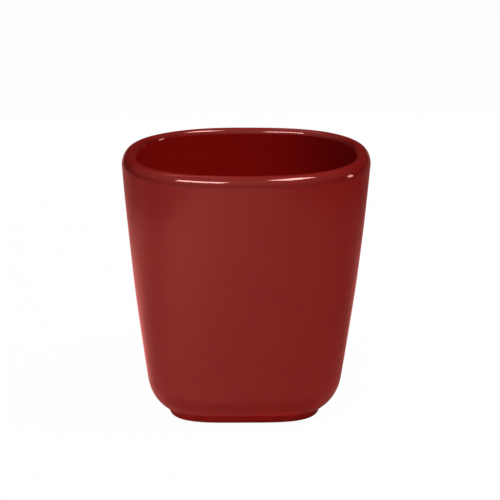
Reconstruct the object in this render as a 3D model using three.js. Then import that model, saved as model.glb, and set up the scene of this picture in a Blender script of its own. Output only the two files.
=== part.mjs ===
// A cup without a handle, slip cast in earthenware and covered in a dark red gloss glaze.
// Its section is a soft square at the foot and grows rounder towards the rim.
// The clay is one fired body. The glaze on it lies in three coats: outside, inside and under the base.
// Only the ring that the cup stands on is bare clay.
// Millimetres, +Z up. The origin is the centre of the standing ring, and the flat sides face X and Y.
import * as THREE from "three";

// Overall size, widths being taken across the flat sides
const cupHeight = 85;
const rimWidth = 80.6;
const wallThickness = 5; // across the lip, glazed on both sides
const lipCrest = 0.6; // share of that thickness that lies outside the highest line of the lip
const floorThickness = 4.9; // from the roof of the base recess up to the floor inside
const glazeThickness = 0.4;

// The wall's lean from upright, in degrees, which grows evenly from the rim down to the bottom rounding
const rimLean = 4.9;
const bottomLean = 8.6;

// Rounding between wall and foot outside, and between wall and floor inside
const bottomRadius = 14.2;
const floorRadius = 7.5;

// The foot: a bare standing ring with rounded edges, and a short glazed side that blends into the rounding
const footInset = 6.95; // from the lower end of the wall in to the side of the foot
const footSide = 1; // straight glazed height
const footBlend = 1.2; // radius of the hollow above it
const standingWidth = 2.6; // flat width of the ring
const footEdge = 0.2; // radius of the ring's edges
const bareSide = 0.05; // clay wiped clean above those edges

// The recess inside the ring
const recessSide = 0.55; // straight glazed height
const recessRadius = 0.8; // between its side and its roof

// Squareness of the section, as the exponent of a superellipse: 2 is round, and more is squarer
const footSquareness = 3.9;
const rimSquareness = 2.43;

// Fineness of the facets
const aroundSteps = 56;
const lipSteps = 4;
const wallSteps = 4;
const roundingSteps = 5;
const blendSteps = 2;
const edgeSteps = 2;

// Heights that stack up from the table
const glazeLine = footEdge + bareSide;
const footTop = glazeLine + footSide;
const recessTop = glazeLine + recessSide + recessRadius;
const floorHeight = recessTop + floorThickness;

// The lip is two rounds that meet at its crest, the outer one wider than the inner
const outerLip = wallThickness * lipCrest;
const innerLip = wallThickness - outerLip;
const crestReach = rimWidth / 2 - outerLip;
const rimTilt = THREE.MathUtils.degToRad(rimLean);
const bottomTilt = THREE.MathUtils.degToRad(bottomLean);

// The bottom rounding touches the wall above it and the hollow over the foot below it
const blendAcross = bottomRadius * Math.cos(bottomTilt) - footInset + footBlend;
const blendUp = Math.sqrt((bottomRadius + footBlend) ** 2 - blendAcross ** 2);
const blendAngle = Math.atan2(blendUp, blendAcross);
const roundingHeight = footTop + blendUp;

// The wall runs between the lip and that rounding, its slope changing at a steady rate
const wallTop = cupHeight - outerLip * (1 + Math.sin(rimTilt));
const wallFoot = roundingHeight - bottomRadius * Math.sin(bottomTilt);
const slopeGain = (Math.tan(bottomTilt) - Math.tan(rimTilt)) / (wallTop - wallFoot);
const slopeAt = (height) => Math.tan(rimTilt) + slopeGain * (wallTop - height);

// The bore wall lies this deep behind the outside, so that it touches the inner round of the lip
const boreDepth = wallThickness + (outerLip - innerLip) * Math.sin(rimTilt);

// Half width of the wall at a height, on a surface that lies so deep behind the outside
function wallReach(height, depth) {
  const meanSlope = (Math.tan(rimTilt) + slopeAt(height)) / 2;
  const outside = crestReach + outerLip * Math.cos(rimTilt) - meanSlope * (wallTop - height);
  return outside - depth / Math.cos(rimTilt);
}

// Half widths of the foot and of the recess under it, measured in from the lower end of the wall
const wallFootReach = wallReach(wallFoot, 0);
const rounding = new THREE.Vector2(wallFootReach - bottomRadius * Math.cos(bottomTilt), roundingHeight);
const footReach = wallFootReach - footInset;
const ringOuter = footReach - glazeThickness - footEdge;
const ringInner = ringOuter - standingWidth;
const recessReach = ringInner - footEdge - glazeThickness;

// The rounding of the floor inside touches the bore wall and the floor
const boreTilt = Math.atan(slopeAt(floorHeight + floorRadius));
const boreFoot = floorHeight + floorRadius * (1 - Math.sin(boreTilt));
const bore = new THREE.Vector2(
  wallReach(boreFoot, boreDepth) - floorRadius * Math.cos(boreTilt),
  floorHeight + floorRadius,
);

const point = (reach, height) => new THREE.Vector2(reach, height);

function arc(centre, radius, from, to, steps) {
  const clockwise = to < from;
  return new THREE.EllipseCurve(centre.x, centre.y, radius, radius, from, to, clockwise).getPoints(steps);
}

// Points up the wall on a surface that lies so deep behind the outside, without those at its two ends
function wallPoints(depth, from, to) {
  const points = [];
  for (let step = 1; step < wallSteps; step++) {
    const height = THREE.MathUtils.lerp(from, to, step / wallSteps);
    points.push(point(wallReach(height, depth), height));
  }
  return points;
}

// Outside of the cup from the glaze line up to the crest of the lip, so deep under the glazed surface
function outsideProfile(depth) {
  const blendCentre = point(footReach + footBlend, footTop);
  const lipCentre = point(crestReach, cupHeight - outerLip);
  return [
    point(footReach - depth, glazeLine),
    ...arc(blendCentre, footBlend + depth, Math.PI, Math.PI - blendAngle, blendSteps),
    ...arc(rounding, bottomRadius - depth, -blendAngle, -bottomTilt, roundingSteps).slice(1),
    ...wallPoints(depth, wallFoot, wallTop),
    ...arc(lipCentre, outerLip - depth, -rimTilt, Math.PI / 2, lipSteps),
  ];
}

// Inside of the cup from the crest of the lip down to the middle of the floor, so deep under the glaze
function insideProfile(depth) {
  const lipCentre = point(crestReach, cupHeight - innerLip);
  return [
    ...arc(lipCentre, innerLip - depth, Math.PI / 2, Math.PI - rimTilt, lipSteps),
    ...wallPoints(boreDepth - depth, wallTop, boreFoot),
    ...arc(bore, floorRadius + depth, -boreTilt, -Math.PI / 2, roundingSteps),
    point(0, floorHeight - depth),
  ];
}

// Recess under the base from its middle out to the glaze line, so deep under the glaze
function recessProfile(depth) {
  const corner = point(recessReach - recessRadius, recessTop - recessRadius);
  return [
    point(0, recessTop + depth),
    ...arc(corner, recessRadius + depth, Math.PI / 2, 0, edgeSteps),
    point(recessReach + depth, glazeLine),
  ];
}

// The bare ring, from its inner edge across the standing face to its outer edge
function standingRing() {
  return [
    ...arc(point(ringInner, footEdge), footEdge, -Math.PI, -Math.PI / 2, edgeSteps),
    ...arc(point(ringOuter, footEdge), footEdge, -Math.PI / 2, 0, edgeSteps),
  ];
}

// How far a superellipse reaches past a circle of the same width, in one direction around the axis
function cornerReach(angle, squareness) {
  const sum = Math.abs(Math.cos(angle)) ** squareness + Math.abs(Math.sin(angle)) ** squareness;
  return sum ** (-1 / squareness);
}

// Splits each facet along its shorter diagonal, so that clay and glaze have the same facets where they meet
function splitFacets(geometry, rows) {
  const places = geometry.attributes.position;
  const corner = (i) => new THREE.Vector3().fromBufferAttribute(places, i);
  const triangles = [];
  for (let column = 0; column < aroundSteps; column++) {
    for (let row = 0; row < rows - 1; row++) {
      const here = column * rows + row;
      const above = here + 1;
      const beside = here + rows;
      const across = beside + 1;
      if (corner(here).distanceTo(corner(across)) < corner(beside).distanceTo(corner(above))) {
        triangles.push(here, beside, across, here, across, above);
      } else {
        triangles.push(here, beside, above, across, above, beside);
      }
    }
  }
  geometry.setIndex(triangles);
}

// Turns a profile about the axis, then draws each round section out to its soft square
function turnedPiece(name, profile, finish) {
  const geometry = new THREE.LatheGeometry(profile, aroundSteps);
  geometry.rotateX(Math.PI / 2);
  const places = geometry.attributes.position;
  for (let i = 0; i < places.count; i++) {
    const squareness = THREE.MathUtils.lerp(footSquareness, rimSquareness, places.getZ(i) / cupHeight);
    const reach = cornerReach(Math.atan2(places.getY(i), places.getX(i)), squareness);
    places.setXY(i, places.getX(i) * reach, places.getY(i) * reach);
  }
  splitFacets(geometry, profile.length);
  geometry.computeVertexNormals();
  const mesh = new THREE.Mesh(geometry, new THREE.MeshStandardMaterial(finish));
  mesh.name = name;
  return mesh;
}

// The fired clay, from the middle of the recess round by the foot, wall and lip to the middle of the floor
function clayBody() {
  const profile = [
    ...recessProfile(glazeThickness),
    ...standingRing(),
    ...outsideProfile(glazeThickness),
    ...insideProfile(glazeThickness).slice(1),
  ];
  return turnedPiece("clay_body", profile, { color: "#d9c4a5", roughness: 0.85, metalness: 0 });
}

// The outer coat, up the glazed side and back down against the clay
function outerGlaze() {
  const face = outsideProfile(0);
  const profile = [...face, ...outsideProfile(glazeThickness).reverse(), face[0]];
  return turnedPiece("outer_glaze", profile, { color: "#7d1f1b", roughness: 0.08, metalness: 0 });
}

// The inner coat, up against the clay and back down the glazed side
function innerGlaze() {
  const profile = [...insideProfile(glazeThickness).reverse(), ...insideProfile(0)];
  return turnedPiece("inner_glaze", profile, { color: "#6a0c0c", roughness: 0.08, metalness: 0 });
}

// The coat in the recess, which the standing ring parts from the outer coat
function baseGlaze() {
  const profile = [...recessProfile(0), ...recessProfile(glazeThickness).reverse()];
  return turnedPiece("base_glaze", profile, { color: "#7d1f1b", roughness: 0.12, metalness: 0 });
}

const cup = new THREE.Group();
cup.name = "cup";
cup.add(clayBody(), outerGlaze(), innerGlaze(), baseGlaze());

export default cup;
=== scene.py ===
import math

import bpy
import numpy as np
from mathutils import Matrix, Vector


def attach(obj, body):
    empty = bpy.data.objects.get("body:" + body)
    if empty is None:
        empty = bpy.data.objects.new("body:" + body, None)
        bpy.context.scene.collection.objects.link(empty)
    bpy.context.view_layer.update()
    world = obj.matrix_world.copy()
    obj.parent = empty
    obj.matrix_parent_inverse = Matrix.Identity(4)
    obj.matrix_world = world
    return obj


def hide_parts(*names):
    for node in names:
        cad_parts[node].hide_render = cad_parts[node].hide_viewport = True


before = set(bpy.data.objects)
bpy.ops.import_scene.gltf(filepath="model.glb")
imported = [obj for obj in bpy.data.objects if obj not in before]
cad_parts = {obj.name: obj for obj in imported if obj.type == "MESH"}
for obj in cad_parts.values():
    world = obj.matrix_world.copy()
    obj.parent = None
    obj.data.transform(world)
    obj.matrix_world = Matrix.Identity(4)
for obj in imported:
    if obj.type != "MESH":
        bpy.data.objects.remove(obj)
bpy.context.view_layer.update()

# A cup without a handle, cast in buff earthenware and glazed dark red, on a white table in a small studio.
# Lengths are written in millimetres and turned to metres where Blender takes them.
mm = 0.001
print("frame loaded, nodes:", ", ".join(sorted(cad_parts)))

# Small helpers


def linear(hexColour):
    # sRGB hex to the linear values that shaders take
    values = [int(hexColour[i:i + 2], 16) / 255 for i in (1, 3, 5)]
    curve = [v / 12.92 if v <= 0.04045 else ((v + 0.055) / 1.055) ** 2.4 for v in values]
    return (*curve, 1.0)


def addNode(tree, kind, inputs=None, **settings):
    # an input is linked if it is a socket, and set if it is a value
    node = tree.nodes.new(kind)
    for name, value in settings.items():
        setattr(node, name, value)
    for name, value in (inputs or {}).items():
        if isinstance(value, bpy.types.NodeSocket):
            tree.links.new(value, node.inputs[name])
        else:
            node.inputs[name].default_value = value
    return node


def newMaterial(name):
    material = bpy.data.materials.new(name)
    material.use_nodes = True
    material.node_tree.nodes.clear()
    return material


def direction(azimuth, elevation):
    # azimuth 0 is the camera's side, and grows to its right
    a = math.radians(azimuth)
    e = math.radians(elevation)
    return Vector((math.sin(a) * math.cos(e), -math.cos(a) * math.cos(e), math.sin(e)))


# The shape of the cup, as the part's own source has it

cup = {
    "height": 85.0,
    "rimWidth": 80.6,  # across the flat sides
    "wall": 5.0,  # across the lip
    "lipCrest": 0.6,  # share of the wall outside the highest line of the lip
    "floor": 4.9,
    "glaze": 0.4,
    "rimLean": 4.9,  # degrees from upright
    "bottomLean": 8.6,
    "bottomRadius": 14.2,
    "floorRadius": 7.5,
    "footInset": 6.95,
    "footSide": 1.0,
    "footBlend": 1.2,
    "standingWidth": 2.6,
    "footEdge": 0.2,
    "bareSide": 0.05,
    "recessSide": 0.55,
    "recessRadius": 0.8,
    "footSquareness": 3.9,
    "rimSquareness": 2.43,
}

glazeLine = cup["footEdge"] + cup["bareSide"]
footTop = glazeLine + cup["footSide"]
recessTop = glazeLine + cup["recessSide"] + cup["recessRadius"]
floorHeight = recessTop + cup["floor"]
outerLip = cup["wall"] * cup["lipCrest"]
innerLip = cup["wall"] - outerLip
crestReach = cup["rimWidth"] / 2 - outerLip
rimTilt = math.radians(cup["rimLean"])
bottomTilt = math.radians(cup["bottomLean"])

# the bottom rounding touches the wall above it and the hollow over the foot below it
blendAcross = cup["bottomRadius"] * math.cos(bottomTilt) - cup["footInset"] + cup["footBlend"]
blendUp = math.sqrt((cup["bottomRadius"] + cup["footBlend"]) ** 2 - blendAcross ** 2)
blendAngle = math.atan2(blendUp, blendAcross)
roundingHeight = footTop + blendUp

# the wall's slope changes evenly between the lip and that rounding
wallTop = cup["height"] - outerLip * (1 + math.sin(rimTilt))
wallFoot = roundingHeight - cup["bottomRadius"] * math.sin(bottomTilt)
slopeGain = (math.tan(bottomTilt) - math.tan(rimTilt)) / (wallTop - wallFoot)
boreDepth = cup["wall"] + (outerLip - innerLip) * math.sin(rimTilt)


def slopeAt(height):
    return math.tan(rimTilt) + slopeGain * (wallTop - height)


def wallReach(height, depth):
    meanSlope = (math.tan(rimTilt) + slopeAt(height)) / 2
    outside = crestReach + outerLip * math.cos(rimTilt) - meanSlope * (wallTop - height)
    return outside - depth / math.cos(rimTilt)


wallFootReach = wallReach(wallFoot, 0)
roundingReach = wallFootReach - cup["bottomRadius"] * math.cos(bottomTilt)
footReach = wallFootReach - cup["footInset"]
ringOuter = footReach - cup["glaze"] - cup["footEdge"]
ringInner = ringOuter - cup["standingWidth"]
recessReach = ringInner - cup["footEdge"] - cup["glaze"]
boreTilt = math.atan(slopeAt(floorHeight + cup["floorRadius"]))
boreFoot = floorHeight + cup["floorRadius"] * (1 - math.sin(boreTilt))
boreReach = wallReach(boreFoot, boreDepth) - cup["floorRadius"] * math.cos(boreTilt)

# A profile is rows of reach, height and the way the surface faces in that plane.
# Each runs with the piece on its left, so outside upwards and inside downwards.


def arcRows(centre, radius, start, end, steps):
    facing = 1 if end > start else -1  # a hollow arc faces its own centre
    angles = np.linspace(start, end, steps + 1)
    across = np.cos(angles)
    up = np.sin(angles)
    rows = [centre[0] + radius * across, centre[1] + radius * up, facing * across, facing * up]
    return np.stack(rows, axis=1)


def lineRows(start, end, steps):
    along = np.array(end, float) - np.array(start, float)
    length = np.linalg.norm(along)
    share = np.linspace(0, 1, steps + 1)[:, None]
    facing = np.array([along[1], -along[0]]) / length
    return np.hstack([np.array(start) + share * along, np.repeat(facing[None], steps + 1, axis=0)])


def wallRows(depth, start, end, steps):
    rows = []
    facing = 1 if end > start else -1
    for height in np.linspace(start, end, steps + 1):
        tilt = math.atan(slopeAt(height))
        reach = wallReach(height, depth)
        rows.append((reach, height, facing * math.cos(tilt), -facing * math.sin(tilt)))
    return np.array(rows)


def joinRows(*stretches):
    # the stretches touch smoothly, so each drops the row that the last one ended on
    return np.vstack([stretches[0]] + [s[1:] for s in stretches[1:]])


def reversedRows(rows):
    return rows[::-1] * np.array([1, 1, -1, -1])


def outsideRows(depth, steps):
    hollow = (footReach + cup["footBlend"], footTop)
    lip = (crestReach, cup["height"] - outerLip)
    return joinRows(
        lineRows((footReach - depth, glazeLine), (footReach - depth, footTop), steps["side"]),
        arcRows(hollow, cup["footBlend"] + depth, math.pi, math.pi - blendAngle, steps["blend"]),
        arcRows((roundingReach, roundingHeight), cup["bottomRadius"] - depth,
                -blendAngle, -bottomTilt, steps["rounding"]),
        wallRows(depth, wallFoot, wallTop, steps["wall"]),
        arcRows(lip, outerLip - depth, -rimTilt, math.pi / 2, steps["lip"]),
    )


def insideRows(depth, steps):
    lip = (crestReach, cup["height"] - innerLip)
    corner = (boreReach, floorHeight + cup["floorRadius"])
    return joinRows(
        arcRows(lip, innerLip - depth, math.pi / 2, math.pi - rimTilt, steps["lip"]),
        wallRows(boreDepth - depth, wallTop, boreFoot, steps["wall"]),
        arcRows(corner, cup["floorRadius"] + depth, -boreTilt, -math.pi / 2, steps["rounding"]),
        lineRows((boreReach, floorHeight - depth), (0, floorHeight - depth), steps["floor"]),
    )


def recessRows(depth, steps):
    corner = (recessReach - cup["recessRadius"], recessTop - cup["recessRadius"])
    return joinRows(
        lineRows((0, recessTop + depth), (corner[0], recessTop + depth), steps["roof"]),
        arcRows(corner, cup["recessRadius"] + depth, math.pi / 2, 0, steps["corner"]),
        lineRows((recessReach + depth, corner[1]), (recessReach + depth, glazeLine), steps["side"]),
    )


# Sweeping a profile round the cup

sweep = {
    "around": 240,  # steps round the cup
    "slopeStep": 1e-4,  # how far apart the section is looked at to find its slope
    "onAxis": 1e-9,  # a row that reaches less than this is one point on the axis
}

unevenness = {
    # slow waves that casting and firing leave in the glaze: depth, wavelength, direction, start
    "waves": [
        (0.030, 34.0, (0.8, 0.5, 0.33), 0.4),
        (0.024, 27.0, (-0.45, 0.75, 0.48), 2.1),
        (0.016, 19.0, (0.25, -0.6, 0.76), 4.4),
    ],
    "lean": 0.68,  # degrees towards +X, from drying
    "glazeLineWave": 0.05,  # rise and fall of the glaze line round the foot
    "glazeLineWaves": [(0.6, 3, 0.7), (0.4, 7, 2.0)],  # share of it, waves in one turn, start
    "glazeLineFade": 1.2,  # height over which that dies away
    "bead": 0.2,  # radius of the glaze's rolled edge
}


def cornerReach(angle, squareness):
    total = np.abs(np.cos(angle)) ** squareness + np.abs(np.sin(angle)) ** squareness
    return total ** (-1 / squareness)


def squarenessAt(height):
    share = height / cup["height"]
    return cup["footSquareness"] + (cup["rimSquareness"] - cup["footSquareness"]) * share


def sweptGrid(rows):
    # places and normals of a profile at every angle, with the section drawn out to its soft square
    angle = np.arange(sweep["around"]) * 2 * math.pi / sweep["around"]
    reach, height, across, up = [column[:, None] for column in rows.T]
    squareness = squarenessAt(height)
    step = sweep["slopeStep"]
    grow = cornerReach(angle, squareness)
    growAround = cornerReach(angle + step, squareness) - cornerReach(angle - step, squareness)
    growSquare = cornerReach(angle, squareness + step) - cornerReach(angle, squareness - step)
    growAround = growAround / (2 * step)
    growSquare = growSquare / (2 * step)
    squareGain = (cup["rimSquareness"] - cup["footSquareness"]) / cup["height"]
    outward = np.stack([np.cos(angle), np.sin(angle), 0 * angle], axis=1)
    sideways = np.stack([-np.sin(angle), np.cos(angle), 0 * angle], axis=1)
    upright = np.array([0.0, 0.0, 1.0])
    places = (reach * grow)[..., None] * outward + (height + 0 * grow)[..., None] * upright
    around = growAround[..., None] * outward + grow[..., None] * sideways
    along = (-up * grow + reach * growSquare * squareGain * across)[..., None] * outward
    along = along + (across + 0 * grow)[..., None] * upright
    normals = np.cross(around, along)
    onAxis = reach[:, 0] < sweep["onAxis"]
    normals[onAxis] = up[onAxis][:, :, None] * upright
    lean = math.tan(math.radians(unevenness["lean"]))
    places[..., 0] += lean * places[..., 2]
    normals[..., 2] -= lean * normals[..., 0]
    return places, normals / np.linalg.norm(normals, axis=2, keepdims=True)


def makeUneven(places, normals):
    rise = np.zeros(places.shape[:2])
    slope = np.zeros(places.shape)
    for depth, wavelength, way, start in unevenness["waves"]:
        wave = np.array(way) / np.linalg.norm(way) * 2 * math.pi / wavelength
        phase = places @ wave + start
        rise += depth * np.sin(phase)
        slope += depth * np.cos(phase)[..., None] * wave
    slope -= np.sum(slope * normals, axis=2, keepdims=True) * normals
    tilted = normals - slope
    return places + rise[..., None] * normals, tilted / np.linalg.norm(tilted, axis=2, keepdims=True)


def waveGlazeLine(places):
    angle = np.arctan2(places[..., 1], places[..., 0])
    wave = 0
    for share, turns, start in unevenness["glazeLineWaves"]:
        wave = wave + share * np.sin(turns * angle + start)
    fade = np.clip(1 - (places[..., 2] - glazeLine) / unevenness["glazeLineFade"], 0, 1)
    places[..., 2] += unevenness["glazeLineWave"] * wave * fade
    return places


def sweptPiece(name, stretches, material):
    # each stretch is (rows, shows, wavy); stretches meet at an edge and the first follows the last
    columns = sweep["around"]
    points = []
    faces = []
    cornerNormals = []
    firstRing = None
    lastRing = None
    for index, (rows, shows, wavy) in enumerate(stretches):
        places, normals = sweptGrid(rows)
        if wavy:
            places = waveGlazeLine(places)
        if shows:
            places, normals = makeUneven(places, normals)
        rings = []
        for row in range(len(rows)):
            pole = rows[row, 0] < sweep["onAxis"]
            closing = index == len(stretches) - 1 and row == len(rows) - 1 and not pole
            if row == 0 and lastRing is not None:
                ring = lastRing
            elif closing:
                ring = firstRing
            else:
                first = len(points)
                points.extend(places[row, :1] if pole else places[row])
                ring = [first] * columns if pole else list(range(first, first + columns))
                firstRing = firstRing or ring
            rings.append(ring)
        lastRing = rings[-1]
        for row in range(len(rows) - 1):
            below = rings[row]
            above = rings[row + 1]
            for here in range(columns):
                beside = (here + 1) % columns
                corners = [(below[here], row, here), (below[beside], row, beside),
                           (above[beside], row + 1, beside), (above[here], row + 1, here)]
                if below[here] == below[beside]:
                    corners.pop(1)
                elif above[here] == above[beside]:
                    corners.pop(2)
                faces.append([c[0] for c in corners])
                cornerNormals.extend(normals[c[1], c[2]] for c in corners)
    mesh = bpy.data.meshes.new(name)
    mesh.from_pydata([tuple(p * mm) for p in points], [], faces)
    mesh.polygons.foreach_set("use_smooth", [True] * len(faces))
    mesh.materials.append(material)
    mesh.normals_split_custom_set([tuple(n) for n in cornerNormals])
    mesh.validate()
    piece = bpy.data.objects.new(name, mesh)
    bpy.context.scene.collection.objects.link(piece)
    print(f"{name}: {len(points)} points, {len(faces)} faces")
    return piece


# Materials

earthenware = {
    "buff": "#d9c4a5",
    "pale": "#e4d4ba",
    "cloud": 9.0,  # mm across the paler patches
    "speck": "#a5825c",
    "speckSpacing": 1.6,  # mm
    "speckEdge": (0.1, 0.2),  # shares of that spacing between which a speck fades out
    "speckStrength": 0.6,
    "grit": 0.35,  # mm, the grain a sponge leaves on cast clay, drawn coarser than it is so that it shows
    "gritDepth": 0.02,
    "roughness": 0.9,
}


def spongedBuffEarthenware():
    # Slip-cast earthenware, sponged and fired bare: dry and matt, pale buff,
    # with fine grit and a few brown specks
    material = newMaterial("sponged_buff_earthenware")
    tree = material.node_tree
    place = addNode(tree, "ShaderNodeTexCoord").outputs["Object"]
    cloud = addNode(tree, "ShaderNodeTexNoise",
                    {"Vector": place, "Scale": 1 / (earthenware["cloud"] * mm), "Detail": 3.0})
    body = addNode(tree, "ShaderNodeMix",
                   {"Factor": cloud.outputs["Fac"], "A": linear(earthenware["buff"]),
                    "B": linear(earthenware["pale"])}, data_type="RGBA")
    cells = addNode(tree, "ShaderNodeTexVoronoi",
                    {"Vector": place, "Scale": 1 / (earthenware["speckSpacing"] * mm)})
    full, gone = earthenware["speckEdge"]
    speck = addNode(tree, "ShaderNodeMapRange",
                    {"Value": cells.outputs["Distance"], "From Min": full, "From Max": gone,
                     "To Min": earthenware["speckStrength"], "To Max": 0.0})
    colour = addNode(tree, "ShaderNodeMix",
                     {"Factor": speck.outputs["Result"], "A": body.outputs["Result"],
                      "B": linear(earthenware["speck"])}, data_type="RGBA")
    grit = addNode(tree, "ShaderNodeTexNoise",
                   {"Vector": place, "Scale": 1 / (earthenware["grit"] * mm), "Detail": 4.0})
    bump = addNode(tree, "ShaderNodeBump",
                   {"Height": grit.outputs["Fac"], "Distance": earthenware["gritDepth"] * mm})
    shader = addNode(tree, "ShaderNodeBsdfPrincipled",
                     {"Base Color": colour.outputs["Result"], "Normal": bump.outputs["Normal"],
                      "Roughness": earthenware["roughness"]})
    addNode(tree, "ShaderNodeOutputMaterial", {"Surface": shader.outputs["BSDF"]})
    return material


redGlaze = {
    "even": "#800f0c",
    "thin": "#86120e",
    "mottle": 11.0,  # mm across the cloudy patches
    "lip": "#720e0b",  # painted shade: the lip, facing up into more light, is painted darker
    "lipShadeBlend": (-0.7, 0.9),  # mm above the top of the wall where that starts and is full
    "crest": "#81100d",  # painted light: lighter again where the top of the lip faces up
    "crestFacing": (0.75, 0.98),  # how far upwards the surface faces where that starts and is full
    "inside": "#95120e",  # painted light: lighter inside the cup, where less light reaches
    "insideFacing": (-8.0, -20.0),  # mm that the surface faces out from the middle, the same
    "foot": "#a0130f",  # painted light: lighter round the foot and under it, where shade falls
    "footBlend": (1.6, 4.0),  # mm above the side of the foot, between which that fades out
    "peel": 2.2,  # mm between the dimples of the fired surface
    "peelDepth": 0.002,
    "roughness": 0.04,
    "ior": 1.5,
}


def firedRedGlossGlaze():
    # Gloss glaze, poured and fired: glassy and wet looking and a deep even red.
    # Painted shade darkens the lip, and painted light lightens its crest, the inside and the foot
    material = newMaterial("fired_red_gloss_glaze")
    tree = material.node_tree
    place = addNode(tree, "ShaderNodeTexCoord").outputs["Object"]
    height = addNode(tree, "ShaderNodeSeparateXYZ", {"Vector": place}).outputs["Z"]
    normal = addNode(tree, "ShaderNodeNewGeometry").outputs["Normal"]
    cloud = addNode(tree, "ShaderNodeTexNoise",
                    {"Vector": place, "Scale": 1 / (redGlaze["mottle"] * mm), "Detail": 2.0})
    wall = addNode(tree, "ShaderNodeMix",
                   {"Factor": cloud.outputs["Fac"], "A": linear(redGlaze["even"]),
                    "B": linear(redGlaze["thin"])}, data_type="RGBA")
    # painted shade: darker over the lip
    start, full = [(wallTop + up) * mm for up in redGlaze["lipShadeBlend"]]
    lip = addNode(tree, "ShaderNodeMapRange", {"Value": height, "From Min": start, "From Max": full})
    lipPaintedShade = addNode(tree, "ShaderNodeMix",
                    {"Factor": lip.outputs["Result"], "A": wall.outputs["Result"],
                     "B": linear(redGlaze["lip"])}, data_type="RGBA")
    upward = addNode(tree, "ShaderNodeSeparateXYZ", {"Vector": normal}).outputs["Z"]
    # painted light: lighter where the lip faces up
    start, full = redGlaze["crestFacing"]
    crest = addNode(tree, "ShaderNodeMapRange",
                    {"Value": upward, "From Min": start, "From Max": full, "To Max": lip.outputs["Result"]})
    crestPaintedLight = addNode(tree, "ShaderNodeMix",
                     {"Factor": crest.outputs["Result"], "A": lipPaintedShade.outputs["Result"],
                      "B": linear(redGlaze["crest"])}, data_type="RGBA")
    # painted light: lighter on the inside of the cup
    outward = addNode(tree, "ShaderNodeVectorMath", {0: place, 1: normal}, operation="DOT_PRODUCT")
    start, full = [out * mm for out in redGlaze["insideFacing"]]
    inside = addNode(tree, "ShaderNodeMapRange",
                     {"Value": outward.outputs["Value"], "From Min": start, "From Max": full})
    insidePaintedLight = addNode(tree, "ShaderNodeMix",
                     {"Factor": inside.outputs["Result"], "A": crestPaintedLight.outputs["Result"],
                      "B": linear(redGlaze["inside"])}, data_type="RGBA")
    # painted light: lighter round the foot and under it
    full, gone = [(footTop + up) * mm for up in redGlaze["footBlend"]]
    foot = addNode(tree, "ShaderNodeMapRange",
                   {"Value": height, "From Min": full, "From Max": gone, "To Min": 1.0, "To Max": 0.0})
    colour = addNode(tree, "ShaderNodeMix",
                     {"Factor": foot.outputs["Result"], "A": insidePaintedLight.outputs["Result"],
                      "B": linear(redGlaze["foot"])}, data_type="RGBA")
    peel = addNode(tree, "ShaderNodeTexNoise",
                   {"Vector": place, "Scale": 1 / (redGlaze["peel"] * mm), "Detail": 0.0})
    bump = addNode(tree, "ShaderNodeBump",
                   {"Height": peel.outputs["Fac"], "Distance": redGlaze["peelDepth"] * mm})
    shader = addNode(tree, "ShaderNodeBsdfPrincipled",
                     {"Base Color": colour.outputs["Result"], "Normal": bump.outputs["Normal"],
                      "Roughness": redGlaze["roughness"], "IOR": redGlaze["ior"]})
    addNode(tree, "ShaderNodeOutputMaterial", {"Surface": shader.outputs["BSDF"]})
    return material


clayFinish = spongedBuffEarthenware()
glazeFinish = firedRedGlossGlaze()
print("materials made")

# The four pieces of the cup, each with the steps along its profile

# where the glaze lies on the clay nothing shows, and both have these steps so that they meet
hiddenSteps = {"side": 2, "blend": 3, "rounding": 6, "wall": 6, "lip": 6,
               "floor": 3, "corner": 3, "roof": 4}

bodySteps = {"edge": 8, "ring": 4, "bareSide": 1}


def earthenwareBody():
    edge = cup["footEdge"]
    innerSide = ringInner - edge
    outerSide = ringOuter + edge
    rows = joinRows(
        recessRows(cup["glaze"], hiddenSteps),
        lineRows((innerSide, glazeLine), (innerSide, edge), bodySteps["bareSide"]),
        arcRows((ringInner, edge), edge, -math.pi, -math.pi / 2, bodySteps["edge"]),
        lineRows((ringInner, 0), (ringOuter, 0), bodySteps["ring"]),
        arcRows((ringOuter, edge), edge, -math.pi / 2, 0, bodySteps["edge"]),
        lineRows((outerSide, edge), (outerSide, glazeLine), bodySteps["bareSide"]),
        outsideRows(cup["glaze"], hiddenSteps),
        insideRows(cup["glaze"], hiddenSteps),
    )
    return sweptPiece("earthenware_body", [(rows, False, False)], clayFinish)


outerSteps = {"edge": 8, "side": 3, "blend": 10, "rounding": 22, "wall": 40, "lip": 24}


def outerCoat():
    bead = unevenness["bead"]
    face = outsideRows(0, outerSteps)
    middle = (footReach - bead, glazeLine + bead)
    rolled = arcRows(middle, bead, -math.pi / 2, 0, outerSteps["edge"])
    side = lineRows((footReach, glazeLine + bead), (footReach, footTop), outerSteps["side"])
    shown = joinRows(rolled, side, face[outerSteps["side"]:])
    back = reversedRows(outsideRows(cup["glaze"], hiddenSteps))
    crest = lineRows(shown[-1, :2], back[0, :2], 1)
    under = lineRows(back[-1, :2], shown[0, :2], 1)
    stretches = [(shown, True, True), (crest, False, False), (back, False, False), (under, False, False)]
    return sweptPiece("outer_glaze_coat", stretches, glazeFinish)


innerSteps = {"lip": 24, "wall": 40, "rounding": 22, "floor": 12}


def innerCoat():
    shown = insideRows(0, innerSteps)
    back = reversedRows(insideRows(cup["glaze"], hiddenSteps))
    crest = lineRows(back[-1, :2], shown[0, :2], 1)
    stretches = [(back, False, False), (crest, False, False), (shown, True, False)]
    return sweptPiece("inner_glaze_coat", stretches, glazeFinish)


baseSteps = {"roof": 10, "corner": 8, "side": 2, "edge": 8}


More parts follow.
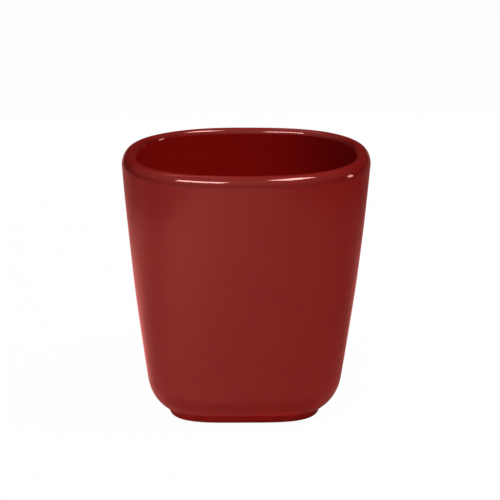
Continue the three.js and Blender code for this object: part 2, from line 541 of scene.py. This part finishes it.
def baseCoat():
    bead = unevenness["bead"]
    face = recessRows(0, baseSteps)
    sideTop = recessTop - cup["recessRadius"]
    side = lineRows((recessReach, sideTop), (recessReach, glazeLine + bead), baseSteps["side"])
    middle = (recessReach + bead, glazeLine + bead)
    rolled = arcRows(middle, bead, math.pi, 1.5 * math.pi, baseSteps["edge"])
    shown = joinRows(face[:-baseSteps["side"]], side, rolled)
    back = reversedRows(recessRows(cup["glaze"], hiddenSteps))
    under = lineRows(shown[-1, :2], back[0, :2], 1)
    stretches = [(shown, True, True), (under, False, False), (back, False, False)]
    return sweptPiece("base_glaze_coat", stretches, glazeFinish)


pieces = {
    "clay_body": (earthenwareBody, "earthenware"),
    "outer_glaze": (outerCoat, "red_glaze"),
    "inner_glaze": (innerCoat, "red_glaze"),
    "base_glaze": (baseCoat, "red_glaze"),
}
for node, (make, slot) in pieces.items():
    piece = make()
    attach(piece, "root")
    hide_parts(node)
print("cup built")

# Camera, placed and aimed as the photograph was taken

view = {
    "distance": 594.1,
    "elevation": 16.13,
    "aimAcross": 2.09,
    "aimHeight": 51.42,
    "roll": -0.19,
    "focal": 129.1,
    "film": 36.0,  # width
    "nearest": 10.0,
    "farthest": 20000.0,
}


def makeCamera():
    data = bpy.data.cameras.new("camera")
    data.lens = view["focal"]
    data.sensor_width = view["film"]
    data.sensor_fit = "HORIZONTAL"
    data.clip_start = view["nearest"] * mm
    data.clip_end = view["farthest"] * mm
    camera = bpy.data.objects.new("camera", data)
    bpy.context.scene.collection.objects.link(camera)
    middle = Vector((0, 0, cup["height"] / 2))
    eye = middle + direction(0, view["elevation"]) * view["distance"]
    aim = Vector((view["aimAcross"], 0, view["aimHeight"]))
    back = (eye - aim).normalized()
    right = Vector((0, 0, 1)).cross(back).normalized()
    up = back.cross(right)
    turn = Matrix((right, up, back)).transposed() @ Matrix.Rotation(math.radians(view["roll"]), 3, "Z")
    camera.matrix_world = Matrix.Translation(eye * mm) @ turn.to_4x4()
    bpy.context.scene.camera = camera


makeCamera()
print("camera placed")

# Floor, room and lamps

table = {
    "white": "#f8f8f8",
    "radius": 3000.0,
    "corners": 64,
    "plainWhite": 0.98,  # share of plain white in how it looks, the rest being the light and shadow on it
    "underLight": 0.21,  # share of its light on the cup that comes through it from below
}


def opalAcrylicSheet():
    # Opal acrylic, lit a little from below, so that it photographs as plain white with a trace of shadow
    material = newMaterial("opal_acrylic_sheet")
    tree = material.node_tree
    rays = addNode(tree, "ShaderNodeLightPath").outputs
    mirrored = addNode(tree, "ShaderNodeMath", {0: rays["Is Glossy Ray"], 1: rays["Is Transmission Ray"]},
                       operation="MAXIMUM")
    seen = addNode(tree, "ShaderNodeMath", {0: rays["Is Camera Ray"], 1: mirrored.outputs["Value"]},
                   operation="MAXIMUM")
    share = addNode(tree, "ShaderNodeMapRange",
                    {"Value": seen.outputs["Value"], "To Min": table["underLight"],
                     "To Max": table["plainWhite"]})
    lit = addNode(tree, "ShaderNodeBsdfDiffuse", {"Color": linear(table["white"])})
    glow = addNode(tree, "ShaderNodeEmission", {"Color": (1, 1, 1, 1), "Strength": 1.0})
    mixed = addNode(tree, "ShaderNodeMixShader",
                    {"Fac": share.outputs["Result"], 1: lit.outputs["BSDF"], 2: glow.outputs["Emission"]})
    addNode(tree, "ShaderNodeOutputMaterial", {"Surface": mixed.outputs["Shader"]})
    return material


def makeTable():
    corners = table["corners"]
    ring = [2 * math.pi * i / corners for i in range(corners)]
    radius = table["radius"] * mm
    points = [(radius * math.cos(a), radius * math.sin(a), 0) for a in ring]
    mesh = bpy.data.meshes.new("table")
    mesh.from_pydata(points, [], [list(range(corners))])
    mesh.materials.append(opalAcrylicSheet())
    top = bpy.data.objects.new("table", mesh)
    bpy.context.scene.collection.objects.link(top)


makeTable()

room = {
    "even": 0.11,  # light on matt surfaces, alike from all sides
    "warm": "#ff8e86",  # what gloss mirrors is warm: painted flats stand round the table
    "brightWay": (-20, 55),  # azimuth and elevation of the brightest of them
    "bright": 1.9,
    "dark": 0.07,
    "darkFrom": -0.2,  # cosine of the angle from the brightest at which it is dark
    "brightTo": 0.95,  # and at which it is brightest
    "falloff": 1.5,
}


def makeRoom():
    world = bpy.data.worlds.new("room")
    bpy.context.scene.world = world
    world.use_nodes = True
    tree = world.node_tree
    tree.nodes.clear()
    rays = addNode(tree, "ShaderNodeLightPath").outputs
    way = addNode(tree, "ShaderNodeTexCoord").outputs["Generated"]
    towards = addNode(tree, "ShaderNodeVectorMath", {0: way, 1: direction(*room["brightWay"])},
                      operation="DOT_PRODUCT")
    facing = addNode(tree, "ShaderNodeMapRange",
                     {"Value": towards.outputs["Value"], "From Min": room["darkFrom"],
                      "From Max": room["brightTo"]})
    lobe = addNode(tree, "ShaderNodeMath", {0: facing.outputs["Result"], 1: room["falloff"]},
                   operation="POWER")
    mirrored = addNode(tree, "ShaderNodeMapRange",
                       {"Value": lobe.outputs["Value"], "To Min": room["dark"], "To Max": room["bright"]})
    shaded = addNode(tree, "ShaderNodeMapRange",
                     {"Value": rays["Is Glossy Ray"], "To Min": room["even"],
                      "To Max": mirrored.outputs["Result"]})
    seen = addNode(tree, "ShaderNodeMath", {0: rays["Is Camera Ray"], 1: rays["Is Transmission Ray"]},
                   operation="MAXIMUM")
    strength = addNode(tree, "ShaderNodeMapRange",
                       {"Value": seen.outputs["Value"], "To Min": shaded.outputs["Result"], "To Max": 1.0})
    colour = addNode(tree, "ShaderNodeMix",
                     {"Factor": rays["Is Glossy Ray"], "A": (1, 1, 1, 1), "B": linear(room["warm"])},
                     data_type="RGBA")
    light = addNode(tree, "ShaderNodeBackground",
                    {"Color": colour.outputs["Result"], "Strength": strength.outputs["Result"]})
    addNode(tree, "ShaderNodeOutputWorld", {"Surface": light.outputs["Background"]})


makeRoom()

# at is azimuth and elevation, and size is width and height, all in degrees seen from the cup
lamps = {
    "key_lamp": {"at": (40, 70), "size": (40, 20), "far": 1200, "glow": 11.1, "tint": "#ffffff",
                 "lights": "matt"},
    "left_card": {"at": (-65, 0), "size": (80, 10), "far": 500, "glow": 2.3, "tint": "#ffffff",
                  "lights": "matt"},
    "back_card": {"at": (180, 8), "size": (100, 16), "far": 500, "glow": 1.6, "tint": "#ffffff",
                  "lights": "matt"},
    "left_strip": {"at": (-36, 47), "size": (36, 13), "far": 1000, "glow": 24.0, "tint": "#ffc2ba",
                   "lights": "gloss"},
    "right_strip": {"at": (70, 72), "size": (26, 13), "far": 1000, "glow": 24.0, "tint": "#ffc2ba",
                    "lights": "gloss"},
    "corner_spot": {"at": (102, 14), "size": (9, 15), "far": 1000, "glow": 9.5, "tint": "#ffc2ba",
                    "lights": "gloss"},
    "back_strip": {"at": (-155, 57), "size": (24, 8), "far": 1000, "glow": 2.2, "tint": "#ff8e86",
                   "lights": "gloss"},
}


def makeLamp(name, lamp):
    width, height = [2 * lamp["far"] * mm * math.tan(math.radians(s / 2)) for s in lamp["size"]]
    data = bpy.data.lights.new(name, "AREA")
    data.shape = "RECTANGLE"
    data.size = width
    data.size_y = height
    data.energy = lamp["glow"] * math.pi * width * height
    data.color = linear(lamp["tint"])[:3]
    way = direction(*lamp["at"])
    obj = bpy.data.objects.new(name, data)
    obj.location = (way * lamp["far"] + Vector((0, 0, cup["height"] / 2))) * mm
    obj.rotation_euler = way.to_track_quat("Z", "Y").to_euler()
    obj.visible_camera = False
    obj.visible_diffuse = lamp["lights"] != "gloss"
    obj.visible_glossy = lamp["lights"] != "matt"
    bpy.context.scene.collection.objects.link(obj)


for name, lamp in lamps.items():
    makeLamp(name, lamp)

# A glowing card round the foot, seen only by gloss, paints the table's reflection in the glaze.
# It is brightest towards the front left, dimmer far off and behind, with painted shadow close to the foot.
shadedCard = {
    "warm": "#ff8e86",
    "even": 0.02,
    # azimuth, narrowing, added glow, and the share of that glow that is left close to the foot
    "sides": [(37.0, 4.0, 1.05, 0.9), (-34.0, 7.5, 1.86, 0.69), (-145.0, 1.7, 1.48, 0.7)],
    "rise": (42.0, 160.0),  # mm from the middle of the cup, over which the glow comes up to full
    # from and to in mm, and the share of the glow at each
    # painted shadow in the reflection: the glow dies out close to the foot
    "contactShadow": (22.0, 39.0, 0.0, 1.0),
    "distance": (230.0, 290.0, 1.0, 0.65),
    "behind": (50.0, 170.0, 1.0, 0.47),
    "straightOn": (28.0, 40.0, 1.0, 0.3),  # the same where it is looked at straight on: painted sheen that glows less there
    "slant": 0.2,  # facing from which it glows in full
    "soft": 24.0,  # how far the corners of its square shading are rounded
    "inner": 20.0,
    "reach": 2500.0,
    "corners": 64,
    "lift": 0.3,
}


def paintedReflectionSheet():
    # Painted reflection: a glow from warm light red to dark, and a painted sheen, brightest at a slant
    material = newMaterial("painted_reflection_glow")
    tree = material.node_tree
    place = addNode(tree, "ShaderNodeTexCoord").outputs["Object"]
    way = addNode(tree, "ShaderNodeVectorMath", {0: place}, operation="NORMALIZE").outputs["Vector"]
    length = addNode(tree, "ShaderNodeVectorMath", {0: place}, operation="LENGTH").outputs["Value"]
    glow = shadedCard["even"]
    start, end = [reach * mm for reach in shadedCard["rise"]]
    for azimuth, narrowing, added, near in shadedCard["sides"]:
        towards = addNode(tree, "ShaderNodeVectorMath", {0: way, 1: direction(azimuth, 0)},
                          operation="DOT_PRODUCT")
        facing = addNode(tree, "ShaderNodeMapRange", {"Value": towards.outputs["Value"], "From Min": -1.0})
        lobe = addNode(tree, "ShaderNodeMath", {0: facing.outputs["Result"], 1: narrowing},
                       operation="POWER")
        rise = addNode(tree, "ShaderNodeMapRange",
                       {"Value": length, "From Min": start, "From Max": end,
                        "To Min": near * added, "To Max": added})
        summed = addNode(tree, "ShaderNodeMath",
                         {0: lobe.outputs["Value"], 1: rise.outputs["Result"], 2: glow},
                         operation="MULTIPLY_ADD")
        glow = summed.outputs["Value"]
    # the foot is a soft square, and so is the shading round it
    sides = addNode(tree, "ShaderNodeVectorMath", {0: place}, operation="ABSOLUTE")
    apart = addNode(tree, "ShaderNodeSeparateXYZ", {"Vector": sides.outputs["Vector"]}).outputs
    out = addNode(tree, "ShaderNodeMath", {0: apart["X"], 1: apart["Y"], 2: shadedCard["soft"] * mm},
                  operation="SMOOTH_MAX").outputs["Value"]
    back = addNode(tree, "ShaderNodeSeparateXYZ", {"Vector": place}).outputs["Y"]
    shares = {}
    for name, measure in (("contactShadow", out), ("distance", length), ("behind", back), ("straightOn", out)):
        start, end, near, far = shadedCard[name]
        share = addNode(tree, "ShaderNodeMapRange",
                        {"Value": measure, "From Min": start * mm, "From Max": end * mm,
                         "To Min": near, "To Max": far})
        shares[name] = share.outputs["Result"]
    # painted sheen: the glow grows as the card is seen at a slant
    slant = addNode(tree, "ShaderNodeLayerWeight").outputs["Facing"]
    paintedSheen = addNode(tree, "ShaderNodeMapRange",
                    {"Value": slant, "From Max": shadedCard["slant"], "To Min": shares["straightOn"]})
    for share in (shares["contactShadow"], shares["distance"], shares["behind"], paintedSheen.outputs["Result"]):
        glow = addNode(tree, "ShaderNodeMath", {0: glow, 1: share}, operation="MULTIPLY").outputs["Value"]
    reflectionGlow = addNode(tree, "ShaderNodeEmission", {"Color": linear(shadedCard["warm"]), "Strength": glow})
    addNode(tree, "ShaderNodeOutputMaterial", {"Surface": reflectionGlow.outputs["Emission"]})
    return material


def makeShadedCard():
    corners = shadedCard["corners"]
    points = []
    for reach in (shadedCard["inner"], shadedCard["reach"]):
        for i in range(corners):
            points.append(direction(360 * i / corners, 0) * reach * mm)
    faces = [(i, (i + 1) % corners, corners + (i + 1) % corners, corners + i) for i in range(corners)]
    mesh = bpy.data.meshes.new("shaded_card")
    mesh.from_pydata(points, [], faces)
    mesh.materials.append(paintedReflectionSheet())
    card = bpy.data.objects.new("shaded_card", mesh)
    card.location.z = shadedCard["lift"] * mm
    card.visible_camera = False
    card.visible_diffuse = False
    card.visible_transmission = False
    card.visible_shadow = False
    bpy.context.scene.collection.objects.link(card)


makeShadedCard()
bpy.context.scene.view_settings.view_transform = "Standard"
print("studio lit")
